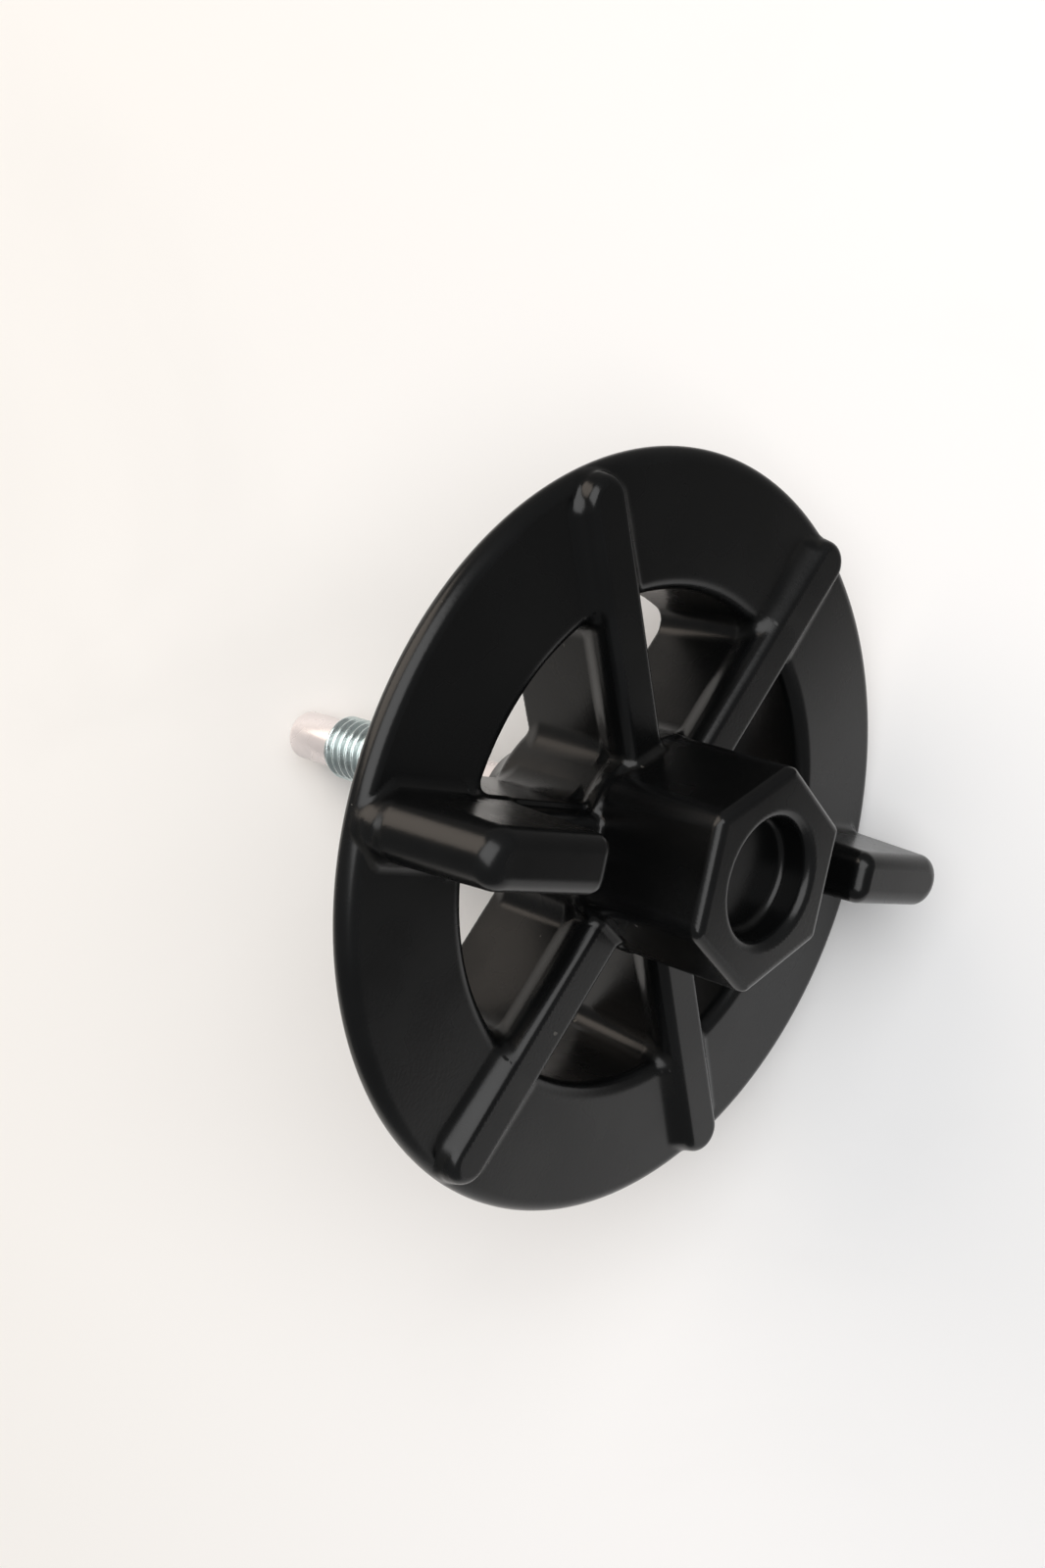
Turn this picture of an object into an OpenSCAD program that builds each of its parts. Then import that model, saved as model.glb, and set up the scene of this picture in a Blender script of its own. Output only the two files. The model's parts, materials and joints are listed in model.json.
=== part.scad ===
// Spare tire retainer nut: a moulded hand wheel with a hexagon for the wheel wrench,
// two finger wings and a captured steel bolt with a plain dog point.
// The pieces are built on their own axis, with +Z from the bolt's tip to the hexagon and
// zero at the rim of the clamping ring's face. They are then laid on the floor, resting
// on the ring's rim and the bolt's tip, which is how the loose part lies.

/* [Clamping ring] */
// Outside diameter of the clamping ring
ring_d = 84; // [76:1:110]
// Thickness of the ring at its rim
ring_t = 2.6; // [2.6:0.1:5]
// Height that the ring's face rises from the rim to the opening
ring_rise = 0.35; // [0.1:0.05:1]
// Diameter of the opening inside the ring
opening_d = 54.6; // [50:0.2:60]
// Rounding of the rim's front edge
rim_round = 1.5; // [0.4:0.1:1.6]
// Rounding of the rim's back edge
rim_back_round = 1; // [0.3:0.1:1]
// Rounding of the opening's front edge
lip_round = 1.6; // [0.5:0.1:2]

/* [Centring skirt] */
// Outside diameter of the skirt that centres the wheel
skirt_d = 59; // [59:0.2:64]
// Depth of the skirt and of the webs below the ring's face
skirt_depth = 13.2; // [8:0.2:16]
// Amount that the skirt's inside narrows on each side from top to bottom
skirt_draft = 0.8; // [0:0.1:1.2]
// Chamfer of the skirt's lower outside edge
skirt_chamfer = 0.8; // [0.2:0.1:1]

/* [Ribs] */
// Number of ribs, two of which carry the wings
rib_count = 6; // [4:2:8]
// Thickness of a rib's web
web_t = 5; // [3:0.1:6]
// Thickness of the web below a wing
wing_web_t = 7; // [5:0.1:8]
// Height of a rib above the ring's rim
rib_h = 2; // [1.2:0.1:3]
// Width of a rib's flat top
rib_top_w = 3.5; // [2:0.1:3.8]
// Radius out to the end of a rib
rib_reach = 41.3; // [36:0.1:41.5]
// Fillet between a web and the hub
hub_fillet = 2; // [0.5:0.1:2.5]
// Fillet between a web and the skirt
skirt_fillet = 2.5; // [0.5:0.1:3]

/* [Wings] */
// Height of a wing above the ring's rim
wing_h = 13.8; // [8:0.2:15.4]
// Thickness of a wing at its root
wing_root_t = 6.6; // [6:0.1:7.4]
// Thickness of a wing at its top
wing_top_t = 6; // [4:0.1:6]
// Radius at which a wing begins
wing_start = 21.8; // [18:0.2:30]
// Radius out to a wing's outer end, at its root
wing_reach = 41.3; // [38:0.1:41.6]
// Lean of a wing's outer end towards the hub, in degrees
wing_lean = 12; // [0:0.5:20]
// Rounding of a wing's long top edges
wing_round = 1.6; // [0.3:0.1:1.8]
// Rounding of a wing's two top corners
wing_corner = 1.6; // [0.5:0.1:3]

/* [Hub and hexagon] */
// Diameter of the hub
hub_d = 23.5; // [23:0.1:28]
// Height of the hub above the ring's rim
hub_h = 1.2; // [0.6:0.1:1.8]
// Depth of the hub's straight wall below the ring's rim
hub_depth = 13.4; // [8:0.2:18]
// Diameter of the collar where the bolt leaves the hub
collar_d = 12.4; // [11:0.2:16]
// Depth of the collar's end below the ring's rim
collar_depth = 20; // [19:0.5:26]
// Hollow of the curve between the hub and the collar
cove = 0.65; // [0.1:0.05:1]
// Distance across the hexagon's flats, at its top
hex_af = 21; // [20:0.5:22]
// Taper of the hexagon's flats from top to root, on each side
hex_draft = 0.3; // [0.1:0.1:0.4]
// Height of the hexagon's top above the ring's rim
hex_h = 16.6; // [15.5:0.2:24]
// Diameter across the hexagon's rounded corners
hex_corner_d = 23.9; // [23:0.1:24.2]
// Diameter of the round recess in the hexagon's top
recess_d = 13; // [8:0.2:15]
// Depth of the recess
recess_depth = 3.8; // [1:0.1:4]
// Rounding of the recess's mouth
recess_mouth = 0.9; // [0.2:0.1:1]
// Fillet round the recess's floor
recess_fillet = 0.8; // [0.2:0.1:1.4]

/* [Bolt] */
// Major diameter of the thread
thread_d = 8; // [6:0.5:10]
// Length of the thread
thread_len = 22; // [10:1:30]
// Diameter of the plain shank, which a rolled thread leaves thinner than the thread
shank_d = 7.2; // [5:0.1:7.5]
// Length of the bolt below its head
bolt_len = 63.2; // [55:0.2:90]
// Distance across the flats of the bolt's head
head_af = 13; // [10:0.5:14]
// Height of the bolt's head
head_h = 5.3; // [3:0.1:6]
// Height of the head's underside above the ring's rim
head_seat = 4.2; // [2:0.2:5]
// Diameter of the dog point
dog_d = 6.2; // [3:0.1:6.4]
// Length of the dog point
dog_len = 7.6; // [3:0.2:9]
// Rounding of the bolt's tip
tip_round = 0.8; // [0.2:0.1:1.4]

/* [Hidden] */
$fn = 96;
// Straight steps in a quarter of a drawn rounding.
arc_steps = 6;
// Overlap that makes two joined shapes one solid.
bite = 0.5;
// Longer than any cut is deep.
beyond = 60;

// Clamping ring, skirt and ribs.
ring_r = ring_d / 2;
opening_r = opening_d / 2;
skirt_r = skirt_d / 2;
web_half = web_t / 2;
wing_web_half = wing_web_t / 2;
rib_top_half = rib_top_w / 2;
rib_nose_x = rib_reach - web_half;
rib_angle = 360 / rib_count;
hub_r = hub_d / 2;
collar_r = collar_d / 2;

// Wings.
wing_root_half = wing_root_t / 2;
wing_top_half = wing_top_t / 2;
wing_slope = (wing_root_half - wing_top_half) / wing_h;
wing_top_x = wing_reach - wing_h * tan(wing_lean);

// Hexagon.
hex_root_af = hex_af + 2 * hex_draft;
hex_wall_h = hex_h - hub_h;
recess_r = recess_d / 2;

// Bolt.
thread_r = thread_d / 2;
shank_r = shank_d / 2;
dog_r = dog_d / 2;
head_r = head_af / 2 / cos(30);
tip_z = head_seat - bolt_len;
dog_top_z = tip_z + dog_len;
thread_end_z = dog_top_z + (thread_r - dog_r);
thread_top_z = thread_end_z + thread_len;

// How the part lies: a straight floor touches the rim's back edge and the bolt's tip, so
// it is the line tangent to those two roundings. The centres of both are known.
rim_x = ring_r - rim_back_round;
rim_z = rim_back_round - ring_t;
tip_x = dog_r - tip_round;
tip_round_z = tip_z + tip_round;
centre_gap = norm([rim_x - tip_x, rim_z - tip_round_z]);
lie_angle = atan2(rim_x - tip_x, rim_z - tip_round_z)
    + asin((rim_back_round - tip_round) / centre_gap);
axis_height = rim_x * cos(lie_angle) - rim_z * sin(lie_angle) + rim_back_round;

// The lying part's reach along the floor, from the bolt's tip to the lower wing's corner.
corner_x = wing_top_x - wing_corner * tan(45 - wing_lean / 2);
reach_x = corner_x * sin(lie_angle) + (wing_h - wing_corner) * cos(lie_angle) + wing_corner;
behind_x = tip_round_z * cos(lie_angle) - tip_x * sin(lie_angle) - tip_round;
middle_x = (reach_x + behind_x) / 2;

// Points of a circular arc about a centre, both ends included.
function arc(centre, r, from, to) =
    [for (i = [0:arc_steps])
        let (a = from + (to - from) * i / arc_steps) centre + r * [cos(a), sin(a)]];

// Points of a shallow arc from p to q, hollowed by sag to the right of its chord.
function hollow(p, q, sag) =
    let (
        half = norm(q - p) / 2,
        r = (half * half + sag * sag) / (2 * sag),
        along = (q - p) / (2 * half),
        right = [along[1], -along[0]],
        centre = (p + q) / 2 + right * (sag - r),
        spread = asin(half / r)
    )
    [for (i = [1:arc_steps - 1])
        let (a = spread * (2 * i / arc_steps - 1))
            centre + r * (right * cos(a) + along * sin(a))];

// Draws a section given as [across, up] along +X, from x_from to x_to.
module along_x(x_from, x_to) {
    translate([x_from, 0, 0])
        rotate([90, 0, 90])
            linear_extrude(height = x_to - x_from)
                children();
}

// Repeats a shape at the ribs, or at every few of them.
module at_ribs(step = 1) {
    for (i = [0:step:rib_count - 1])
        rotate([0, 0, i * rib_angle])
            children();
}

// Half of a rib's section, from its middle to its side, down to a given height.
module rib_half_section(bottom) {
    edge = web_half - rib_top_half;
    polygon(concat(
        [[0, bottom], [web_half, bottom]],
        arc([rib_top_half, rib_h - edge], edge, 0, 90),
        [[0, rib_h]]
    ));
}

// A rib's whole section.
module rib_section(bottom) {
    rib_half_section(bottom);
    mirror([1, 0]) rib_half_section(bottom);
}

// One rib's crown, from the hub to its round nose.
module rib() {
    along_x(0, rib_nose_x) rib_section(-ring_t / 2);
    translate([rib_nose_x, 0, 0])
        rotate_extrude()
            rib_half_section(-ring_t / 2);
}

// The fillet on one side of a web, where it meets a round wall. The wall is the outside
// of the hub (side = 1) or the inside of the skirt (side = -1).
module web_fillet(half, wall_r, fillet, side) {
    y = half + fillet;
    x = sqrt(pow(wall_r + side * fillet, 2) - y * y);
    root = (wall_r - side * 2 * bite) / norm([x, y]);
    translate([0, 0, -skirt_depth])
        linear_extrude(height = skirt_depth - ring_t / 2)
            difference() {
                polygon([[x, 0], [root * x, 0], [root * x, root * y], [x, y]]);
                translate([x, y]) circle(r = fillet);
            }
}

// One web with its four fillets, from the hub to the skirt.
module web(half) {
    along_x(0, opening_r + bite)
        translate([-half, -skirt_depth])
            square([2 * half, skirt_depth]);
    for (mirrored = [0, 1])
        mirror([0, mirrored, 0]) {
            web_fillet(half, hub_r, hub_fillet, 1);
            web_fillet(half, opening_r - skirt_draft / 2, skirt_fillet, -1);
        }
}

// The webs below the ribs. Those below the two wings are thicker.
module webs() {
    for (i = [0:rib_count - 1])
        rotate([0, 0, i * rib_angle])
            web(i % (rib_count / 2) == 0 ? wing_web_half : web_half);
}

// A wing's section across its thickness, from inside the ring to its rounded top.
module wing_section() {
    side = wing_top_half + wing_slope * wing_round;
    top = wing_h - wing_round;
    polygon(concat(
        [[-wing_root_half, -ring_t / 2], [wing_root_half, -ring_t / 2], [wing_root_half, 0]],
        arc([side - wing_round, top], wing_round, 0, 90),
        arc([wing_round - side, top], wing_round, 90, 180),
        [[-wing_root_half, 0]]
    ));
}

// A wing seen from its side, with both top corners rounded.
module wing_profile() {
    polygon(concat(
        [[wing_start, -ring_t / 2], [wing_reach, -ring_t / 2], [wing_reach, 0]],
        arc([corner_x, wing_h - wing_corner], wing_corner, wing_lean, 90),
        arc([wing_start + wing_corner, wing_h - wing_corner], wing_corner, 90, 180)
    ));
}

// The leaning round nose that ends a wing, with room inwards for all of the wing. It
// tapers as the wing does, so its round meets both of the wing's sides.
module wing_nose() {
    nose_foot = 2 * ring_t;
    nose_head = 2 * wing_h;
    low_half = wing_root_half + wing_slope * nose_foot;
    high_half = wing_root_half - wing_slope * nose_head;
    translate([wing_reach, 0, 0])
        rotate([0, -wing_lean, 0])
            translate([-wing_root_half, 0, -nose_foot]) {
                cylinder(r1 = low_half, r2 = high_half, h = nose_foot + nose_head);
                translate([-beyond, -wing_root_half, 0])
                    cube([beyond, wing_root_t, nose_foot + nose_head]);
            }
}

// One finger wing, standing on its rib.
module wing() {
    intersection() {
        along_x(wing_start, wing_reach) wing_section();
        translate([0, wing_root_half, 0])
            rotate([90, 0, 0])
                linear_extrude(height = wing_root_t)
                    wing_profile();
        wing_nose();
    }
}

// The clamping ring and its centring skirt, turned as one profile.
module ring_and_skirt() {
    lip_top = ring_rise - lip_round;
    inside_r = opening_r - skirt_draft;
    rotate_extrude()
        polygon(concat(
            arc([ring_r - rim_back_round, rim_z], rim_back_round, -90, 0),
            arc([ring_r - rim_round, -rim_round], rim_round, 0, 90),
            arc([opening_r + lip_round, lip_top], lip_round, 90, 180),
            [
                [inside_r, -skirt_depth],
                [skirt_r - skirt_chamfer, -skirt_depth],
                [skirt_r, skirt_chamfer - skirt_depth],
                [skirt_r, -ring_t]
            ]
        ));
}

// The hub below the hexagon, which narrows in a cove to the bolt's collar.
module hub() {
    shoulder = [hub_r, -hub_depth];
    collar = [collar_r, -collar_depth];
    rotate_extrude()
        polygon(concat(
            [[0, -collar_depth], collar],
            hollow(collar, shoulder, -cove),
            [shoulder, [hub_r, hub_h], [0, hub_h]]
        ));
}

// The wrench hexagon: three tapered slabs, cut to its rounded corners.
module hexagon() {
    intersection() {
        hex_slab(0);
        hex_slab(1);
        hex_slab(2);
        translate([0, 0, hub_h - bite]) cylinder(d = hex_corner_d, h = hex_wall_h + bite);
    }
}

// One pair of the hexagon's flats, some sixths of a turn round. The flats face the ribs.
module hex_slab(sixths) {
    low = hex_root_af / 2;
    high = hex_af / 2;
    rotate([90, 0, sixths * 360 / 6])
        translate([0, 0, -hex_af])
            linear_extrude(height = 2 * hex_af)
                polygon([
                    [-low, hub_h - bite], [low, hub_h - bite], [low, hub_h],
                    [high, hex_h], [-high, hex_h], [-low, hub_h]
                ]);
}

// The round recess in the hexagon's top.
module recess() {
    floor_z = hex_h - recess_depth;
    rotate_extrude()
        polygon(concat(
            [[0, floor_z]],
            arc([recess_r - recess_fillet, floor_z + recess_fillet], recess_fillet, -90, 0),
            arc([recess_r + recess_mouth, hex_h - recess_mouth], recess_mouth, 180, 90),
            [[recess_r + recess_mouth, hex_h + bite], [0, hex_h + bite]]
        ));
}

// The part of the bolt that the moulding grips: its head and shank.
module bolt_grip() {
    translate([0, 0, head_seat]) rotate([0, 0, 30]) cylinder(r = head_r, h = head_h, $fn = 6);
    translate([0, 0, thread_top_z]) cylinder(r = shank_r, h = head_seat - thread_top_z);
}

// The bolt's thread, at its major diameter, and its dog point.
module bolt_end() {
    rotate_extrude()
        polygon(concat(
            [[0, tip_z]],
            arc([tip_x, tip_round_z], tip_round, -90, 0),
            [
                [dog_r, dog_top_z], [thread_r, thread_end_z],
                [thread_r, thread_top_z], [0, thread_top_z]
            ]
        ));
}

// Lays a piece down from its own axis onto the floor, with a wing beside the floor.
module lying() {
    translate([-middle_x, 0, axis_height])
        rotate([0, 90 - lie_angle, 0])
            children();
}

module retainer_body() {
    color([0.04, 0.04, 0.045])
        lying()
            difference() {
                union() {
                    ring_and_skirt();
                    hub();
                    hexagon();
                    webs();
                    at_ribs() rib();
                    at_ribs(step = rib_count / 2) wing();
                }
                recess();
                bolt_grip();
            }
}

module bolt() {
    color([0.72, 0.75, 0.76])
        lying() {
            bolt_grip();
            bolt_end();
        }
}

retainer_body();
bolt();
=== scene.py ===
"""Looks of a spare tire retainer nut: a black moulded hand wheel on a zinc plated bolt.

Shapes are drawn in millimetres on the part's own axis, with +Z from the bolt's tip to the
wrench hexagon, zero at the rim of the clamping ring's face, and +X along the wing that
lies beside the floor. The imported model's mounts say where that axis is.
"""

import json
import logging
import math
from dataclasses import dataclass
from enum import Enum
from typing import Callable

import bpy
import numpy as np
import openvdb
from mathutils import Matrix, Vector


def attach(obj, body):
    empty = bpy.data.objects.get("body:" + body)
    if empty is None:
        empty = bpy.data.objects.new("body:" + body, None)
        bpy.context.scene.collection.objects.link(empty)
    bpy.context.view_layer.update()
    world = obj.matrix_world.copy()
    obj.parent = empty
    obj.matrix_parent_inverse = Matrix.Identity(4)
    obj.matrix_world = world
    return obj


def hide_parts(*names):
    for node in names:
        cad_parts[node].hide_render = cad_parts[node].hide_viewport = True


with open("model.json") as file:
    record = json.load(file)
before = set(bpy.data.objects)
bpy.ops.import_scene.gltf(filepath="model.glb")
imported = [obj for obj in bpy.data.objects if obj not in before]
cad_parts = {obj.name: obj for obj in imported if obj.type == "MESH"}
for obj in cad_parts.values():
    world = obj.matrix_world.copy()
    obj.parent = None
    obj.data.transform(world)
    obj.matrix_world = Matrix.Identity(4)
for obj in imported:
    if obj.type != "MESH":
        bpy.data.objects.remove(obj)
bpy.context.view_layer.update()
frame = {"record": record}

log = logging.getLogger("retainer_nut")

MM = 0.001

Array = np.ndarray
Field = Callable[[Array, Array, Array], Array]
Colour = tuple[float, float, float]


class Slot(Enum):
    """The record's material slots."""

    BLACK_PLASTIC = "black_plastic"
    ZINC_STEEL = "zinc_steel"


# ---------------------------------------------------------------------------
# Where the part's axis lies
# ---------------------------------------------------------------------------


@dataclass(frozen=True)
class PartAxis:
    """The part's own axis, placed in the shared frame.

    Attributes:
        hexagon_top: Height of the hexagon's top above the ring's rim, in millimetres.
    """

    hexagon_top: float = 16.6

    def matrix(self) -> Matrix:
        """Finds the turn and shift from the part's axis to the shared frame.

        Returns:
            A matrix from millimetres on the part's axis to metres in the shared frame.
        """
        mounts = {m["name"]: m for m in frame["record"]["mounts"]}
        top = mounts["wrench_hexagon"]
        along = Vector(top["axis"]).normalized()
        origin = Vector(top["pos_m"]) - along * self.hexagon_top * MM
        across = Vector((0.0, 1.0, 0.0))
        wing = across.cross(along)
        turn = Matrix((wing, across, along)).transposed().to_4x4()
        return Matrix.Translation(origin) @ turn @ Matrix.Scale(MM, 4)


# ---------------------------------------------------------------------------
# Solids given by their signed distance, negative inside
# ---------------------------------------------------------------------------


def filleted(a: Array, b: Array, radius: float | Array) -> Array:
    """Joins two solids with a fillet where they meet.

    Args:
        a: Distance to the first solid.
        b: Distance to the second solid.
        radius: Radius of the fillet.

    Returns:
        Distance to the joined solid.
    """
    return np.maximum(radius, np.minimum(a, b)) - np.hypot(
        np.maximum(radius - a, 0), np.maximum(radius - b, 0)
    )


def rounded(a: Array, b: Array, radius: float | Array) -> Array:
    """Keeps what two solids share, with a rounded edge where their faces meet.

    Args:
        a: Distance to the first solid.
        b: Distance to the second solid.
        radius: Radius of the edge.

    Returns:
        Distance to the shared solid.
    """
    return np.minimum(-radius, np.maximum(a, b)) + np.hypot(
        np.maximum(radius + a, 0), np.maximum(radius + b, 0)
    )


def eased(value: Array, start: float, end: float) -> Array:
    """Rises smoothly from 0 at start to 1 at end.

    Args:
        value: Values to ease.
        start: Value that gives 0.
        end: Value that gives 1.

    Returns:
        The eased share, from 0 to 1.
    """
    t = np.clip((value - start) / (end - start), 0, 1)
    return t * t * (3 - 2 * t)


def folded(x: Array, y: Array, count: int) -> tuple[Array, Array]:
    """Folds a plane onto one of several equal sectors, each centred on its own direction.

    Args:
        x: First coordinate.
        y: Second coordinate.
        count: Number of sectors, the first of them centred on +X.

    Returns:
        Distance along the sector's direction, and the distance to either side of it.
    """
    step = 2 * math.pi / count
    angle = np.arctan2(y, x)
    angle = angle - step * np.round(angle / step)
    radius = np.hypot(x, y)
    return radius * np.cos(angle), np.abs(radius * np.sin(angle))


@dataclass
class Moulding:
    """Turns a signed distance into one smooth closed skin.

    Attributes:
        pitch: Spacing of the grid that the skin is found on, in millimetres.
        triangles: Most triangles that the skin may have.
        probe: Step used to measure slopes, in millimetres.
    """

    pitch: float = 0.3
    triangles: int = 190_000
    probe: float = 0.04

    def mesh(
        self, name: str, solid: Field, low: Vector, high: Vector, place: Matrix
    ) -> bpy.types.Mesh:
        """Builds the skin of a solid.

        Args:
            name: Name of the mesh.
            solid: Signed distance in millimetres on the part's axis.
            low: Lowest corner of the space searched.
            high: Highest corner of the space searched.
            place: Matrix from the part's axis to the shared frame.

        Returns:
            The mesh in the shared frame, with its normals, and with how sharply it bends
            outwards kept in the attribute "edge" and inwards in "nook".
        """
        points, faces = self._coarse(solid, low, high)
        points, faces = self._thinned(points, faces)
        points = self._settled(solid, points)
        slope, bend = self._slopes(solid, points)
        a, b, c = (points[faces[:, i]] for i in range(3))
        outward = np.einsum("ij,ij->i", np.cross(b - a, c - a), slope[faces[:, 0]])
        if np.median(outward) < 0:
            faces = faces[:, ::-1]
        turn = np.array(place)
        mesh = bpy.data.meshes.new(name)
        mesh.from_pydata(points @ turn[:3, :3].T + turn[:3, 3], [], faces.tolist())
        mesh.polygons.foreach_set("use_smooth", np.ones(len(faces), bool))
        for attribute, value in (("edge", bend), ("nook", -bend)):
            layer = mesh.attributes.new(attribute, "FLOAT", "POINT")
            layer.data.foreach_set("value", np.clip(value, 0, 1).astype(np.float32))
        normals = slope @ (turn[:3, :3] / MM).T
        mesh.normals_split_custom_set_from_vertices(normals.tolist())
        mesh.update()
        return mesh

    def _coarse(self, solid: Field, low: Vector, high: Vector) -> tuple[Array, Array]:
        """Finds the skin on a grid.

        Args:
            solid: Signed distance.
            low: Lowest corner of the space searched.
            high: Highest corner of the space searched.

        Returns:
            The skin's points, and its triangles.
        """
        x, y, z = (
            np.arange(a, b, self.pitch, dtype=np.float32) for a, b in zip(low, high)
        )
        values = solid(x[:, None, None], y[None, :, None], z[None, None, :])
        grid = openvdb.FloatGrid()
        grid.background = 3.0
        grid.copyFromArray(np.clip(values, -3, 3).astype(np.float32))
        points, triangles, quads = grid.convertToPolygons(isovalue=0.0, adaptivity=0.0)
        faces = np.concatenate(
            [triangles, quads[:, [0, 1, 2]], quads[:, [0, 2, 3]]]
        ).astype(np.int64)
        return points.astype(float) * self.pitch + np.array(low), faces

    def _thinned(self, points: Array, faces: Array) -> tuple[Array, Array]:
        """Merges triangles where the skin is flattest.

        Args:
            points: The skin's points.
            faces: The skin's triangles.

        Returns:
            Fewer points, and fewer triangles.
        """
        mesh = bpy.data.meshes.new("skin to thin")
        mesh.from_pydata(points, [], faces.tolist())
        holder = bpy.data.objects.new("skin to thin", mesh)
        bpy.context.scene.collection.objects.link(holder)
        thin = holder.modifiers.new("thin", "DECIMATE")
        thin.ratio = min(1.0, self.triangles / len(faces))
        thin.use_collapse_triangulate = True
        done = bpy.data.meshes.new_from_object(
            holder.evaluated_get(bpy.context.evaluated_depsgraph_get())
        )
        bpy.data.objects.remove(holder)
        co = np.zeros(len(done.vertices) * 3, np.float32)
        done.vertices.foreach_get("co", co)
        corners = np.zeros(len(done.loops), np.int32)
        done.loops.foreach_get("vertex_index", corners)
        bpy.data.meshes.remove(mesh)
        bpy.data.meshes.remove(done)
        return co.reshape(-1, 3).astype(float), corners.reshape(-1, 3).astype(np.int64)

    def _settled(self, solid: Field, points: Array) -> Array:
        """Moves each point onto the solid's true surface.

        Args:
            solid: Signed distance.
            points: Points near the surface.

        Returns:
            Points on the surface.
        """
        for _ in range(3):
            slope, _ = self._slopes(solid, points)
            off = solid(*points.T)
            step = np.clip(off, -self.pitch, self.pitch)[:, None] * slope
            points = points - 0.9 * step
        return points

    def _slopes(self, solid: Field, points: Array) -> tuple[Array, Array]:
        """Measures which way the surface faces, and how sharply it bends.

        Args:
            solid: Signed distance.
            points: Points on the surface.

        Returns:
            Unit normals, and the bend in 1/mm, above 0 on an outside edge.
        """
        x, y, z = points.T
        h = self.probe
        pairs = [
            (solid(x + h, y, z), solid(x - h, y, z)),
            (solid(x, y + h, z), solid(x, y - h, z)),
            (solid(x, y, z + h), solid(x, y, z - h)),
        ]
        slope = np.stack([(a - b) / (2 * h) for a, b in pairs], axis=1)
        slope /= np.maximum(np.linalg.norm(slope, axis=1, keepdims=True), 1e-6)
        bend = (sum(a + b for a, b in pairs) - 6 * solid(x, y, z)) / (h * h)
        return slope, bend


# ---------------------------------------------------------------------------
# The moulded hand wheel
# ---------------------------------------------------------------------------


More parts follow.
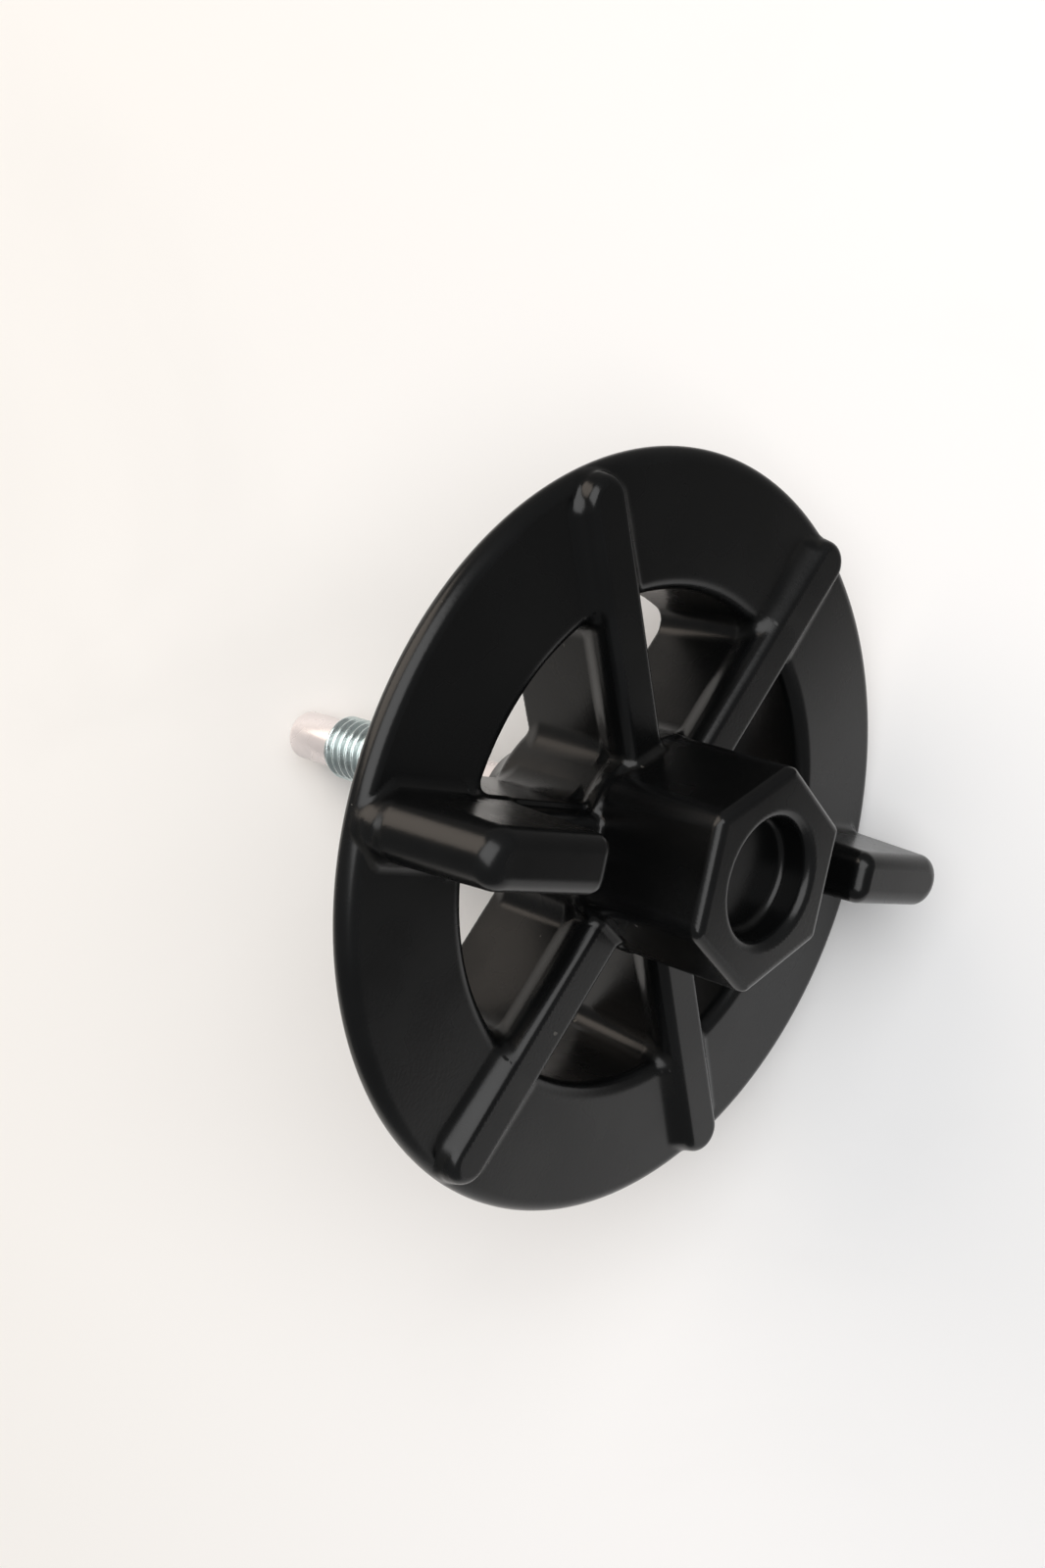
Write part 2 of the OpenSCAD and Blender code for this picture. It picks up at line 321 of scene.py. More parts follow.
@dataclass
class HandWheel:
    """The one black moulding: ring, skirt, ribs, wings, hub and hexagon.

    Lengths are in millimetres. A name that ends in _r is a radius, one in _half is half a
    thickness, and one in _foot, _fillet, _round or _edge is the radius of a blend.

    Attributes:
        web_bite: How far a web runs into the skirt.
        rim_fade: Where the feet start and stop shrinking, inwards from the ring's edge.
        rim_fade_share: Share of a foot that is gone at the rim.
        below_face: Heights between which a foot gives way to a web's fillet.
        buried: Radius of the blend where a rib is buried and may not show.
    """

    ring_r: float = 42.0
    ring_t: float = 2.6
    ring_rise: float = 0.35
    opening_r: float = 27.3
    rim_round: float = 1.5
    rim_back_round: float = 1.0
    lip_round: float = 1.6

    skirt_r: float = 29.5
    skirt_depth: float = 13.2
    skirt_draft: float = 0.8
    skirt_edge: float = 0.8
    skirt_foot: float = 0.5
    back_edge: float = 0.3

    ribs: int = 6
    rib_half: float = 2.5
    wing_web_half: float = 3.5
    wing_web_edge: float = 0.4
    web_bite: float = 1.0
    rib_h: float = 2.0
    rib_edge: float = 0.85
    rib_reach: float = 41.3
    rib_foot: float = 1.7
    rib_spread: float = 0.4
    hub_fillet: float = 2.0
    skirt_fillet: float = 2.5
    rim_fade: tuple[float, float] = (3.5, 1.0)
    rim_fade_share: float = 0.75
    below_face: tuple[float, float] = (-2.2, -0.6)
    buried: float = 0.05

    wing_h: float = 13.8
    wing_root_half: float = 3.3
    wing_top_half: float = 3.0
    wing_start: float = 21.8
    wing_reach: float = 41.3
    wing_lean: float = 12.0
    wing_round: float = 1.8
    wing_foot: float = 0.9

    hub_r: float = 11.75
    hub_h: float = 1.2
    hub_depth: float = 13.4
    hub_foot: float = 0.7
    hub_foot_rise: float = 2.4
    hub_edge: float = 0.35
    cove_edge: float = 0.4
    collar_r: float = 6.2
    collar_depth: float = 20.0
    cove: float = 0.65

    hexagon_half: float = 10.5
    hexagon_draft: float = 0.3
    hexagon_h: float = 16.6
    hexagon_corner: float = 0.7
    hexagon_corner_r: float = 11.95
    hexagon_corner_edge: float = 0.4
    hexagon_edge: float = 1.1
    hexagon_foot: float = 0.9
    recess_r: float = 6.5
    recess_depth: float = 3.8
    recess_mouth: float = 1.1
    recess_fillet: float = 0.8

    def build(self, place: Matrix, finish: "BlackPlastic") -> bpy.types.Object:
        """Builds and dresses the moulding.

        Args:
            place: Matrix from the part's axis to the shared frame.
            finish: The moulding's finish.

        Returns:
            The moulding's object.
        """
        reach = self.ring_r + 1.0
        mesh = Moulding().mesh(
            "hand wheel",
            self.solid,
            Vector((-reach, -reach, -self.collar_depth - 1.0)),
            Vector((reach, reach, self.hexagon_h + 1.0)),
            place,
        )
        wheel = bpy.data.objects.new("hand_wheel", mesh)
        bpy.context.scene.collection.objects.link(wheel)
        mesh.materials.append(finish.material())
        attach(wheel, "root")
        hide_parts("retainer_body")
        return wheel

    def solid(self, x: Array, y: Array, z: Array) -> Array:
        """Gives the signed distance to the whole moulding.

        Args:
            x: Distance along the wings.
            y: Distance across the wings.
            z: Height above the ring's rim.

        Returns:
            Signed distance in millimetres.
        """
        radius = np.hypot(x, y)
        along, aside = folded(x, y, self.ribs)
        ring = self._ring(radius, z)
        rib = self._rib(along, aside, z)
        web = self._wing_web(np.abs(x), np.abs(y), z)
        rib = filleted(rib, web, self.wing_web_edge)
        inside = 1 - eased(z, *self.below_face)
        near_rim = eased(radius, *(self.ring_r - inwards for inwards in self.rim_fade))
        kept = 1 - self.rim_fade_share * near_rim
        foot = self.rib_foot * kept
        foot = foot + (self.skirt_fillet - self.rib_foot) * inside * (1 - near_rim)
        # Below the ring and outside the skirt no rib shows, so nothing may swell there.
        outside = radius > self.skirt_r - self.web_bite
        foot = np.where(outside, foot * (1 - inside) + self.buried, foot)
        wheel = filleted(ring, rib, foot)
        wing = self._wing(np.abs(x), np.abs(y), z)
        wheel = filleted(wheel, wing, self.wing_foot * kept)
        wheel = rounded(wheel, -self.skirt_depth - z, self.back_edge)
        risen = eased(z, -self.hub_depth, self.hub_foot_rise - self.hub_depth)
        root = self.hub_foot + (self.hub_fillet - self.hub_foot) * inside * risen
        wheel = filleted(wheel, self._hub(radius, z), root)
        hexagon = self._hexagon(along, aside, z)
        limit = radius - self.hexagon_corner_r
        hexagon = rounded(hexagon, limit, self.hexagon_corner_edge)
        wheel = filleted(wheel, hexagon, self.hexagon_foot)
        return rounded(wheel, -self._recess(radius, z), self.recess_mouth)

    def _ring(self, radius: Array, z: Array) -> Array:
        """Gives the clamping ring with its centring skirt.

        Args:
            radius: Distance from the axis.
            z: Height above the ring's rim.

        Returns:
            Signed distance in millimetres.
        """
        rise = self.ring_rise / (self.ring_r - self.opening_r)
        face = z - rise * (self.ring_r - radius)
        flange = rounded(radius - self.ring_r, -self.ring_t - z, self.rim_back_round)
        low = (self.skirt_r - radius - self.skirt_depth - z + self.skirt_edge) / math.sqrt(2)
        skirt = np.maximum(radius - self.skirt_r, low - (self.skirt_r - radius) * math.sqrt(2))
        ring = rounded(filleted(flange, skirt, self.skirt_foot), face, self.rim_round)
        wall = self.opening_r + self.skirt_draft * z / self.skirt_depth - radius
        return rounded(ring, wall, self.lip_round)

    def _rib(self, along: Array, aside: Array, z: Array) -> Array:
        """Gives one rib: its deep web inside the ring, and its crown across the face.

        Args:
            along: Distance along the rib.
            aside: Distance to either side of the rib's middle.
            z: Height above the ring's rim.

        Returns:
            Signed distance in millimetres.
        """
        nose = self.rib_reach - self.rib_half
        spread = self.rib_spread * (1 - eased(z, 0.0, self.rib_h)) * eased(z, -2.5, -0.5)
        plan = np.hypot(np.maximum(along - nose, 0), aside) - self.rib_half - spread
        plan = np.maximum(plan, -along)
        crown = rounded(plan, z - self.rib_h, self.rib_edge)
        shallow = np.maximum(crown, -self.ring_t / 2 - z)
        deep = np.maximum(crown, along - self.opening_r - self.web_bite)
        return np.minimum(shallow, deep)

    def _wing_web(self, along: Array, aside: Array, z: Array) -> Array:
        """Gives the thicker web below a wing, from the hub to the skirt.

        Args:
            along: Distance along the wing.
            aside: Distance to either side of the wing's middle.
            z: Height above the ring's rim.

        Returns:
            Signed distance in millimetres.
        """
        web = rounded(aside - self.wing_web_half, z, self.wing_web_edge)
        return np.maximum(web, along - self.opening_r - self.web_bite)

    def _wing(self, along: Array, aside: Array, z: Array) -> Array:
        """Gives one finger wing, whose outer end leans in and is round.

        Args:
            along: Distance along the wing.
            aside: Distance to either side of the wing's middle.
            z: Height above the ring's rim.

        Returns:
            Signed distance in millimetres.
        """
        narrowing = (self.wing_root_half - self.wing_top_half) / self.wing_h
        half = self.wing_root_half - narrowing * z
        lean = math.radians(self.wing_lean)
        nose = self.wing_reach - z * math.tan(lean) - half
        plan = np.hypot(np.maximum(along - nose, 0) * math.cos(lean), aside) - half
        wing = rounded(plan, self.wing_start - along, self.wing_round)
        wing = rounded(wing, z - self.wing_h, self.wing_round)
        return np.maximum(wing, -self.ring_t / 2 - z)

    def _hub(self, radius: Array, z: Array) -> Array:
        """Gives the hub, which narrows in a cove to the bolt's collar.

        Args:
            radius: Distance from the axis.
            z: Height above the ring's rim.

        Returns:
            Signed distance in millimetres.
        """
        shoulder = np.array([self.hub_r, -self.hub_depth])
        collar = np.array([self.collar_r, -self.collar_depth])
        chord = np.linalg.norm(shoulder - collar)
        out = np.array([shoulder[1] - collar[1], collar[0] - shoulder[0]]) / chord
        sweep = (chord * chord / 4 + self.cove**2) / (2 * self.cove)
        centre = (shoulder + collar) / 2 + out * (sweep - self.cove)
        hollow = sweep - np.hypot(radius - centre[0], z - centre[1])
        drum = rounded(radius - self.hub_r, z - self.hub_h, self.hub_edge)
        drum = rounded(drum, -self.collar_depth - z, self.back_edge)
        return rounded(drum, hollow, self.cove_edge)

    def _hexagon(self, along: Array, aside: Array, z: Array) -> Array:
        """Gives the wrench hexagon, whose flats face the ribs.

        Args:
            along: Distance from the axis towards the nearest flat.
            aside: Distance to either side of the flat's middle.
            z: Height above the ring's rim.

        Returns:
            Signed distance in millimetres.
        """
        drop = (self.hexagon_h - z) / (self.hexagon_h - self.hub_h)
        half = self.hexagon_half + self.hexagon_draft * drop
        sector = 2 * math.pi / self.ribs
        neighbour = along * math.cos(sector) + aside * math.sin(sector)
        prism = rounded(along - half, neighbour - half, self.hexagon_corner)
        prism = rounded(prism, z - self.hexagon_h, self.hexagon_edge)
        return np.maximum(prism, -z)

    def _recess(self, radius: Array, z: Array) -> Array:
        """Gives the empty space of the recess in the hexagon's top.

        Args:
            radius: Distance from the axis.
            z: Height above the ring's rim.

        Returns:
            Signed distance in millimetres, below 0 in the recess.
        """
        floor = self.hexagon_h - self.recess_depth
        return rounded(radius - self.recess_r, floor - z, self.recess_fillet)


# ---------------------------------------------------------------------------
# Node trees
# ---------------------------------------------------------------------------


class Tree:
    """A node tree under construction, laid out from left to right."""

    def __init__(self, tree: bpy.types.NodeTree) -> None:
        """Wraps a node tree, emptied.

        Args:
            tree: The node tree.
        """
        self.tree = tree
        self.tree.nodes.clear()
        self.column = 0

    def add(self, kind: str, settings: dict | None = None, **values: object) -> bpy.types.Node:
        """Adds a node and fills its inputs.

        Args:
            kind: The node's type.
            settings: The node's own properties.
            values: Input values or sockets to link, by name in snake case, or "i" and the
                input's number.

        Returns:
            The node.
        """
        node = self.tree.nodes.new(kind)
        node.location = (200 * self.column, 0)
        self.column += 1
        for name, value in (settings or {}).items():
            setattr(node, name, value)
        for name, value in values.items():
            self.feed(self._socket(node, name), value)
        return node

    def feed(self, socket: bpy.types.NodeSocket, value: object) -> None:
        """Links a socket, or gives it a constant.

        Args:
            socket: The input.
            value: An output to link from, or a constant.
        """
        if isinstance(value, bpy.types.NodeSocket):
            self.tree.links.new(value, socket)
        elif isinstance(value, tuple) and len(value) == 3 and socket.type == "RGBA":
            socket.default_value = (*value, 1.0)
        else:
            socket.default_value = value

    def math(self, operation: str, *values: object, clamp: bool = False) -> bpy.types.NodeSocket:
        """Adds a Math node.

        Args:
            operation: The sum it does.
            values: Its inputs, in order.
            clamp: Whether the result is kept from 0 to 1.

        Returns:
            The result.
        """
        node = self.add("ShaderNodeMath", {"operation": operation, "use_clamp": clamp})
        for socket, value in zip(node.inputs, values):
            self.feed(socket, value)
        return node.outputs[0]

    def ramp(
        self, value: object, low: float, high: float, start: float = 0.0, end: float = 1.0
    ) -> bpy.types.NodeSocket:
        """Maps a value smoothly from one range to another.

        Args:
            value: The value to map.
            low: Value that gives start.
            high: Value that gives end.
            start: Result at low.
            end: Result at high.

        Returns:
            The mapped value.
        """
        node = self.add("ShaderNodeMapRange", {"interpolation_type": "SMOOTHSTEP"})
        for socket, item in zip(node.inputs, (value, low, high, start, end)):
            self.feed(socket, item)
        return node.outputs[0]

    def blend(
        self, share: object, first: object, second: object, how: str = "MIX"
    ) -> bpy.types.NodeSocket:
        """Mixes two colours.

        Args:
            share: Share of the second colour.
            first: First colour.
            second: Second colour.
            how: Way of mixing.

        Returns:
            The mixed colour.
        """
        node = self.add("ShaderNodeMix", {"data_type": "RGBA", "blend_type": how})
        self.feed(node.inputs[0], share)
        self.feed(node.inputs[6], first)
        self.feed(node.inputs[7], second)
        return node.outputs[2]

    @staticmethod
    def _socket(node: bpy.types.Node, name: str) -> bpy.types.NodeSocket:
        """Finds a node's input.

        Args:
            node: The node.
            name: The input's name in snake case, or "i" and its number.

        Returns:
            The input.
        """
        if name[0] == "i" and name[1:].isdigit():
            return node.inputs[int(name[1:])]
        wanted = name.replace("_", " ")
        return next(s for s in node.inputs if s.name.lower() == wanted and s.enabled)


def shader_group(
    name: str, inputs: dict[str, float], outputs: dict[str, str]
) -> tuple[Tree, bpy.types.Node, bpy.types.Node]:
    """Starts a shader node group with object coordinates among its inputs.

    Args:
        name: The group's name.
        inputs: Default of each numeric input, by name.
        outputs: Socket type of each output, by name.

    Returns:
        The group's tree, its input node and its output node.
    """
    group = bpy.data.node_groups.new(name, "ShaderNodeTree")
    group.interface.new_socket("Vector", in_out="INPUT", socket_type="NodeSocketVector")
    for item, default in inputs.items():
        socket = group.interface.new_socket(item, in_out="INPUT", socket_type="NodeSocketFloat")
        socket.default_value = default
    for item, kind in outputs.items():
        group.interface.new_socket(item, in_out="OUTPUT", socket_type=kind)
    tree = Tree(group)
    return tree, tree.add("NodeGroupInput"), tree.add("NodeGroupOutput")


class SurfaceEffects:
    """Shader groups that more than one finish uses."""

    def __init__(self) -> None:
        """Builds the groups once."""
        self.specks = self._specks()
        self.scuffs = self._scuffs()
        self.grain = self._grain()

    @staticmethod
    def _specks() -> bpy.types.NodeTree:
        """Builds scattered specks of dust.

        Returns:
            A group whose Mask is 1 on a speck.
        """
        tree, source, sink = shader_group(
            "dust specks",
            {"Scale": 300.0, "Size": 0.08, "Share": 0.3},
            {"Mask": "NodeSocketFloat"},
        )
        warp = tree.add(
            "ShaderNodeTexNoise", vector=source.outputs["Vector"], scale=2200.0, detail=1.0
        )
        offset = tree.add(
            "ShaderNodeVectorMath",
            {"operation": "SCALE"},
            i0=warp.outputs["Color"],
            scale=0.0006,
        )
        moved = tree.add(
            "ShaderNodeVectorMath", i0=source.outputs["Vector"], i1=offset.outputs[0]
        )
        cells = tree.add(
            "ShaderNodeTexVoronoi", vector=moved.outputs[0], scale=source.outputs["Scale"]
        )
        pick = tree.add("ShaderNodeSeparateColor", i0=cells.outputs["Color"])
        chosen = tree.math("LESS_THAN", pick.outputs[0], source.outputs["Share"])
        size = tree.math("MULTIPLY", source.outputs["Size"], pick.outputs[1])
        near = tree.math("LESS_THAN", cells.outputs["Distance"], size)
        tree.feed(sink.inputs["Mask"], tree.math("MULTIPLY", chosen, near))
        return tree.tree

    @staticmethod
    def _scuffs() -> bpy.types.NodeTree:
        """Builds short fine scratches that run in several directions.

        Returns:
            A group whose Mask is 1 on a scratch.
        """
        tree, source, sink = shader_group(
            "fine scuffs",
            {"Scale": 60.0, "Amount": 0.5},
            {"Mask": "NodeSocketFloat"},
        )
        total: object = 0.0
        for i, turn in enumerate((0.3, 1.4, 2.5)):
            lines = tree.add(
                "ShaderNodeMapping",
                vector=source.outputs["Vector"],
                rotation=(0.4 * i, turn, turn * 1.7),
                scale=(1.0, 22.0, 22.0),
            )
            streak = tree.add(
                "ShaderNodeTexNoise",
                vector=lines.outputs[0],
                scale=source.outputs["Scale"],
                detail=1.0,
            )
            lit = tree.ramp(streak.outputs["Fac"], 0.705, 0.74)
            total = tree.math("MAXIMUM", total, lit)
        patch = tree.add(
            "ShaderNodeTexNoise", vector=source.outputs["Vector"], scale=45.0, detail=2.0
        )
        where = tree.ramp(patch.outputs["Fac"], 0.5, 0.62)
        strength = tree.math("MULTIPLY", source.outputs["Amount"], where)
        tree.feed(sink.inputs["Mask"], tree.math("MULTIPLY", total, strength))
        return tree.tree

    @staticmethod
    def _grain() -> bpy.types.NodeTree:
        """Builds fine grain over a slow ripple.

        Returns:
            A group with the grain's Height and a slow Mottle, both from 0 to 1.
        """
        tree, source, sink = shader_group(
            "surface grain",
            {"Grain Scale": 2500.0, "Ripple Scale": 90.0, "Ripple": 0.4},
            {"Height": "NodeSocketFloat", "Mottle": "NodeSocketFloat"},
        )
        fine = tree.add(
            "ShaderNodeTexNoise",
            vector=source.outputs["Vector"],
            scale=source.outputs["Grain Scale"],
            detail=2.0,
        )
        slow = tree.add(
            "ShaderNodeTexNoise",
            vector=source.outputs["Vector"],
            scale=source.outputs["Ripple Scale"],
            detail=3.0,
        )
        share = source.outputs["Ripple"]
        ripple = tree.math("MULTIPLY", slow.outputs["Fac"], share)
        rest = tree.math("SUBTRACT", 1.0, share)
        grain = tree.math("MULTIPLY", fine.outputs["Fac"], rest)
        tree.feed(sink.inputs["Height"], tree.math("ADD", ripple, grain))
        tree.feed(sink.inputs["Mottle"], slow.outputs["Fac"])
        return tree.tree


@dataclass(frozen=True)
class BlackPlastic:
    """Satin black moulded plastic, a little dusty and rubbed on its edges."""

    effects: SurfaceEffects
    colour: Colour = (0.0022, 0.0024, 0.0025)
    rubbed: Colour = (0.008, 0.0085, 0.009)
    dust: Colour = (0.20, 0.19, 0.17)
    roughness: float = 0.26
    specular: float = 0.36

    def material(self) -> bpy.types.Material:
        """Builds the material.

        Returns:
            The material.
        """
        material = bpy.data.materials.new("black moulded plastic")
        material.use_nodes = True
        tree = Tree(material.node_tree)
        place = tree.add("ShaderNodeTexCoord").outputs["Object"]
        edge = tree.add("ShaderNodeAttribute", {"attribute_name": "edge"}).outputs["Fac"]
        nook = tree.add("ShaderNodeAttribute", {"attribute_name": "nook"}).outputs["Fac"]
        grain = tree.add("ShaderNodeGroup", {"node_tree": self.effects.grain})
        tree.feed(grain.inputs["Vector"], place)
        specks = tree.add("ShaderNodeGroup", {"node_tree": self.effects.specks})
        tree.feed(specks.inputs["Vector"], place)
        scuffs = tree.add("ShaderNodeGroup", {"node_tree": self.effects.scuffs})
        tree.feed(scuffs.inputs["Vector"], place)
        mottle = grain.outputs["Mottle"]
        wear = tree.math("MULTIPLY", edge, tree.ramp(mottle, 0.35, 0.65, 0.3, 1.0))
        base = tree.blend(tree.math("MULTIPLY", wear, 0.6), self.colour, self.rubbed)
        base = tree.blend(
            tree.math("MULTIPLY", scuffs.outputs["Mask"], 0.25), base, self.rubbed
        )
        settled = tree.math("MULTIPLY", nook, tree.ramp(mottle, 0.45, 0.7, 0.0, 0.05))
        dusty = tree.math(
            "MAXIMUM", tree.math("MULTIPLY", specks.outputs["Mask"], 0.35), settled
        )
        base = tree.blend(dusty, base, self.dust)
        rough = tree.ramp(mottle, 0.3, 0.7, self.roughness - 0.03, self.roughness + 0.05)
        rough = tree.math("SUBTRACT", rough, tree.math("MULTIPLY", wear, 0.05))
        rough = tree.math("ADD", rough, tree.math("MULTIPLY", dusty, 0.5), clamp=True)
        bump = tree.add(
            "ShaderNodeBump",
            strength=0.06,
            distance=0.0002,
            height=grain.outputs["Height"],
        )
        shader = tree.add(
            "ShaderNodeBsdfPrincipled",
            base_color=base,
            roughness=rough,
            specular_ior_level=self.specular,
            normal=bump.outputs[0],
        )
        tree.add("ShaderNodeOutputMaterial", surface=shader.outputs[0])
        return material


class PlatedZone(Enum):
    """The two parts of the bolt whose plating looks different."""

    THREAD = "zinc plated thread"
    PLAIN = "zinc plated bolt"


@dataclass(frozen=True)
class ZincSteel:
    """Bright zinc plated steel."""

    effects: SurfaceEffects
    zone: PlatedZone
    colour: Colour = (0.66, 0.74, 0.74)
    cloud: Colour = (0.54, 0.63, 0.63)
    soil: Colour = (0.06, 0.065, 0.06)
    roughness: float = 0.24
    metal: float = 0.85

    def material(self) -> bpy.types.Material:
        """Builds the material.

        Returns:
            The material.
        """
        material = bpy.data.materials.new(self.zone.value)
        material.use_nodes = True
        tree = Tree(material.node_tree)
        place = tree.add("ShaderNodeTexCoord").outputs["Object"]
        grain = tree.add("ShaderNodeGroup", {"node_tree": self.effects.grain})
        tree.feed(grain.inputs["Vector"], place)
        tree.feed(grain.inputs["Grain Scale"], 4000.0)
        tree.feed(grain.inputs["Ripple Scale"], 260.0)
        scuffs = tree.add("ShaderNodeGroup", {"node_tree": self.effects.scuffs})
        tree.feed(scuffs.inputs["Vector"], place)
        tree.feed(scuffs.inputs["Scale"], 160.0)
        specks = tree.add("ShaderNodeGroup", {"node_tree": self.effects.specks})
        tree.feed(specks.inputs["Vector"], place)
        tree.feed(specks.inputs["Scale"], 700.0)
        tree.feed(specks.inputs["Share"], 0.15)
        cloudy = tree.ramp(grain.outputs["Mottle"], 0.35, 0.7)
        base = tree.blend(cloudy, self.colour, self.cloud)
        marks = tree.math("MULTIPLY", specks.outputs["Mask"], 0.5)
        base = tree.blend(marks, base, self.soil)
        rough = tree.ramp(cloudy, 0.0, 1.0, self.roughness - 0.05, self.roughness + 0.08)
        rough = tree.math("ADD", rough, tree.math("MULTIPLY", scuffs.outputs["Mask"], 0.15))
        bump = tree.add(
            "ShaderNodeBump", strength=0.15, distance=0.0001, height=grain.outputs["Height"]
        )
        shader = tree.add(
            "ShaderNodeBsdfPrincipled",
            base_color=base,
            metallic=self.metal,
            roughness=rough,
            normal=bump.outputs[0],
        )
        tree.add("ShaderNodeOutputMaterial", surface=shader.outputs[0])
        return material


# ---------------------------------------------------------------------------
# The bolt
# ---------------------------------------------------------------------------


@dataclass
class Bolt:
    """The captured bolt: a plain shank, a rolled thread and a dog point."""

    thread_r: float = 4.0
    root_r: float = 3.36
    pitch: float = 1.25
    thread_len: float = 22.0
    shank_r: float = 3.6
    shank_top: float = -15.0
    dog_r: float = 3.1
    tip: float = -59.0
    dog_len: float = 7.6
    tip_round: float = 0.8
    segments: int = 96
    rows_per_turn: int = 14

    @property
    def dog_top(self) -> float:
        """Height of the dog point's inner end."""
        return self.tip + self.dog_len

    @property
    def thread_top(self) -> float:
        """Height of the thread's inner end."""
        return self.dog_top + self.thread_r - self.dog_r + self.thread_len

    def build(
        self, place: Matrix, plain: ZincSteel, threaded: ZincSteel
    ) -> list[bpy.types.Object]:
        """Builds and dresses the bolt.

        Args:
            place: Matrix from the part's axis to the shared frame.
            plain: Finish of the dog point and the shank.
            threaded: Finish of the thread.

        Returns:
            The plain bolt, and its thread.
        """
        made = [self._plain(place, plain.material()), self._thread(place, threaded.material())]
        for piece in made:
            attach(piece, "root")
            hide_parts("bolt")
        return made

    def _plain(self, place: Matrix, material: bpy.types.Material) -> bpy.types.Object:
        """Turns the dog point, the thread's core and the shank.

        Args:
            place: Matrix from the part's axis to the shared frame.
            material: The finish.

        Returns:
            The piece.
        """
        r = self.tip_round
        arc = [math.radians(a) for a in range(-90, 1, 10)]
        profile = [(0.0, self.tip)]
        profile += [
            (self.dog_r - r + r * math.cos(a), self.tip + r + r * math.sin(a)) for a in arc
        ]
        profile += [
            (self.dog_r, self.dog_top - 0.1),
            (self.dog_r - 0.1, self.dog_top + 0.2),
            (self.dog_r - 0.1, self.thread_top - 0.5),
            (self.root_r - 0.06, self.thread_top - 0.2),
            (self.shank_r, self.thread_top + 0.3),
            (self.shank_r, self.shank_top),
            (0.0, self.shank_top),
        ]
        return turned("bolt_plain", profile, self.segments, place, material)

    def _thread(self, place: Matrix, material: bpy.types.Material) -> bpy.types.Object:
        """Rolls the thread with Geometry Nodes.

        Args:
            place: Matrix from the part's axis to the shared frame.
            material: The finish.

        Returns:
            The piece.
        """
        length = self.thread_top - self.dog_top
        rows = round(length / self.pitch * self.rows_per_turn) + 1
        where = place @ Matrix.Translation((0.0, 0.0, self.dog_top))
        tree = self._thread_tree()
        return grown(
            "bolt_thread",
            tree,
            {
                "Length": length,
                "Pitch": self.pitch,
                "Root Radius": self.root_r,
                "Crest Radius": self.thread_r,
                "Start Radius": self.dog_r,
                "Rows": rows,
                "Columns": self.segments + 1,
                "Place": tuple(where.to_translation()),
                "Turn": tuple(where.to_euler()),
                "Scale": MM,
                "Finish": material,
            },
        )

    @staticmethod
    def _thread_tree() -> bpy.types.NodeTree:
        """Builds the tree that rolls a right-hand thread with a tapered start.

        Returns:
            The tree.
        """
        group = bpy.data.node_groups.new("rolled thread", "GeometryNodeTree")
        sockets = {
            "Length": "NodeSocketFloat",
            "Pitch": "NodeSocketFloat",
            "Root Radius": "NodeSocketFloat",
            "Crest Radius": "NodeSocketFloat",
            "Start Radius": "NodeSocketFloat",
            "Rows": "NodeSocketInt",
            "Columns": "NodeSocketInt",
            "Place": "NodeSocketVector",
            "Turn": "NodeSocketVector",
            "Scale": "NodeSocketFloat",
            "Finish": "NodeSocketMaterial",
        }
        for name, kind in sockets.items():
            group.interface.new_socket(name, in_out="INPUT", socket_type=kind)
        group.interface.new_socket("Geometry", in_out="OUTPUT", socket_type="NodeSocketGeometry")
        tree = Tree(group)
        source = tree.add("NodeGroupInput").outputs
        sheet = tree.add(
            "GeometryNodeMeshGrid",
            size_x=1.0,
            size_y=1.0,
            vertices_x=source["Columns"],
            vertices_y=source["Rows"],
        )
        spot = tree.add(
            "ShaderNodeSeparateXYZ", i0=tree.add("GeometryNodeInputPosition").outputs[0]
        )
        around = tree.math("ADD", spot.outputs[0], 0.5)
        share = tree.math("ADD", spot.outputs[1], 0.5)
        height = tree.math("MULTIPLY", share, source["Length"])
        turns = tree.math("DIVIDE", height, source["Pitch"])
        phase = tree.math("FRACT", tree.math("SUBTRACT", turns, around))
        slant = tree.math("ABSOLUTE", tree.math("MULTIPLY_ADD", phase, 2.0, -1.0))
        flank = tree.add("ShaderNodeMapRange", value=slant, i1=0.14, i2=0.8, i3=1.0, i4=0.0)
        left = tree.math("SUBTRACT", source["Length"], height)
        fade = tree.ramp(tree.math("DIVIDE", left, source["Pitch"]), 0.3, 1.6)
        depth = tree.math("SUBTRACT", source["Crest Radius"], source["Root Radius"])
        ridge = tree.math("MULTIPLY", depth, tree.math("MULTIPLY", flank.outputs[0], fade))
        radius = tree.math("ADD", source["Root Radius"], ridge)
        start = tree.math("ADD", source["Start Radius"], height)
        radius = tree.math("MINIMUM", radius, start)
        ends = tree.math("MULTIPLY", share, tree.math("SUBTRACT", 1.0, share))
        radius = tree.math("MULTIPLY", radius, tree.math("GREATER_THAN", ends, 1e-6))
        angle = tree.math("MULTIPLY", around, 2 * math.pi)
        spun = tree.add(
            "ShaderNodeCombineXYZ",
            x=tree.math("MULTIPLY", radius, tree.math("COSINE", angle)),
            y=tree.math("MULTIPLY", radius, tree.math("SINE", angle)),
            z=height,
        )
        rolled = tree.add(
            "GeometryNodeSetPosition", geometry=sheet.outputs[0], position=spun.outputs[0]
        )
        closed = tree.add(
            "GeometryNodeMergeByDistance", geometry=rolled.outputs[0], distance=0.0005
        )
        sized = tree.add(
            "ShaderNodeCombineXYZ", x=source["Scale"], y=source["Scale"], z=source["Scale"]
        )
        turn = tree.add("FunctionNodeEulerToRotation", i0=source["Turn"])
        placed = tree.add(
            "GeometryNodeTransform",
            geometry=closed.outputs[0],
            translation=source["Place"],
            rotation=turn.outputs[0],
            scale=sized.outputs[0],
        )
        smooth = tree.add("GeometryNodeSetShadeSmooth", geometry=placed.outputs[0])
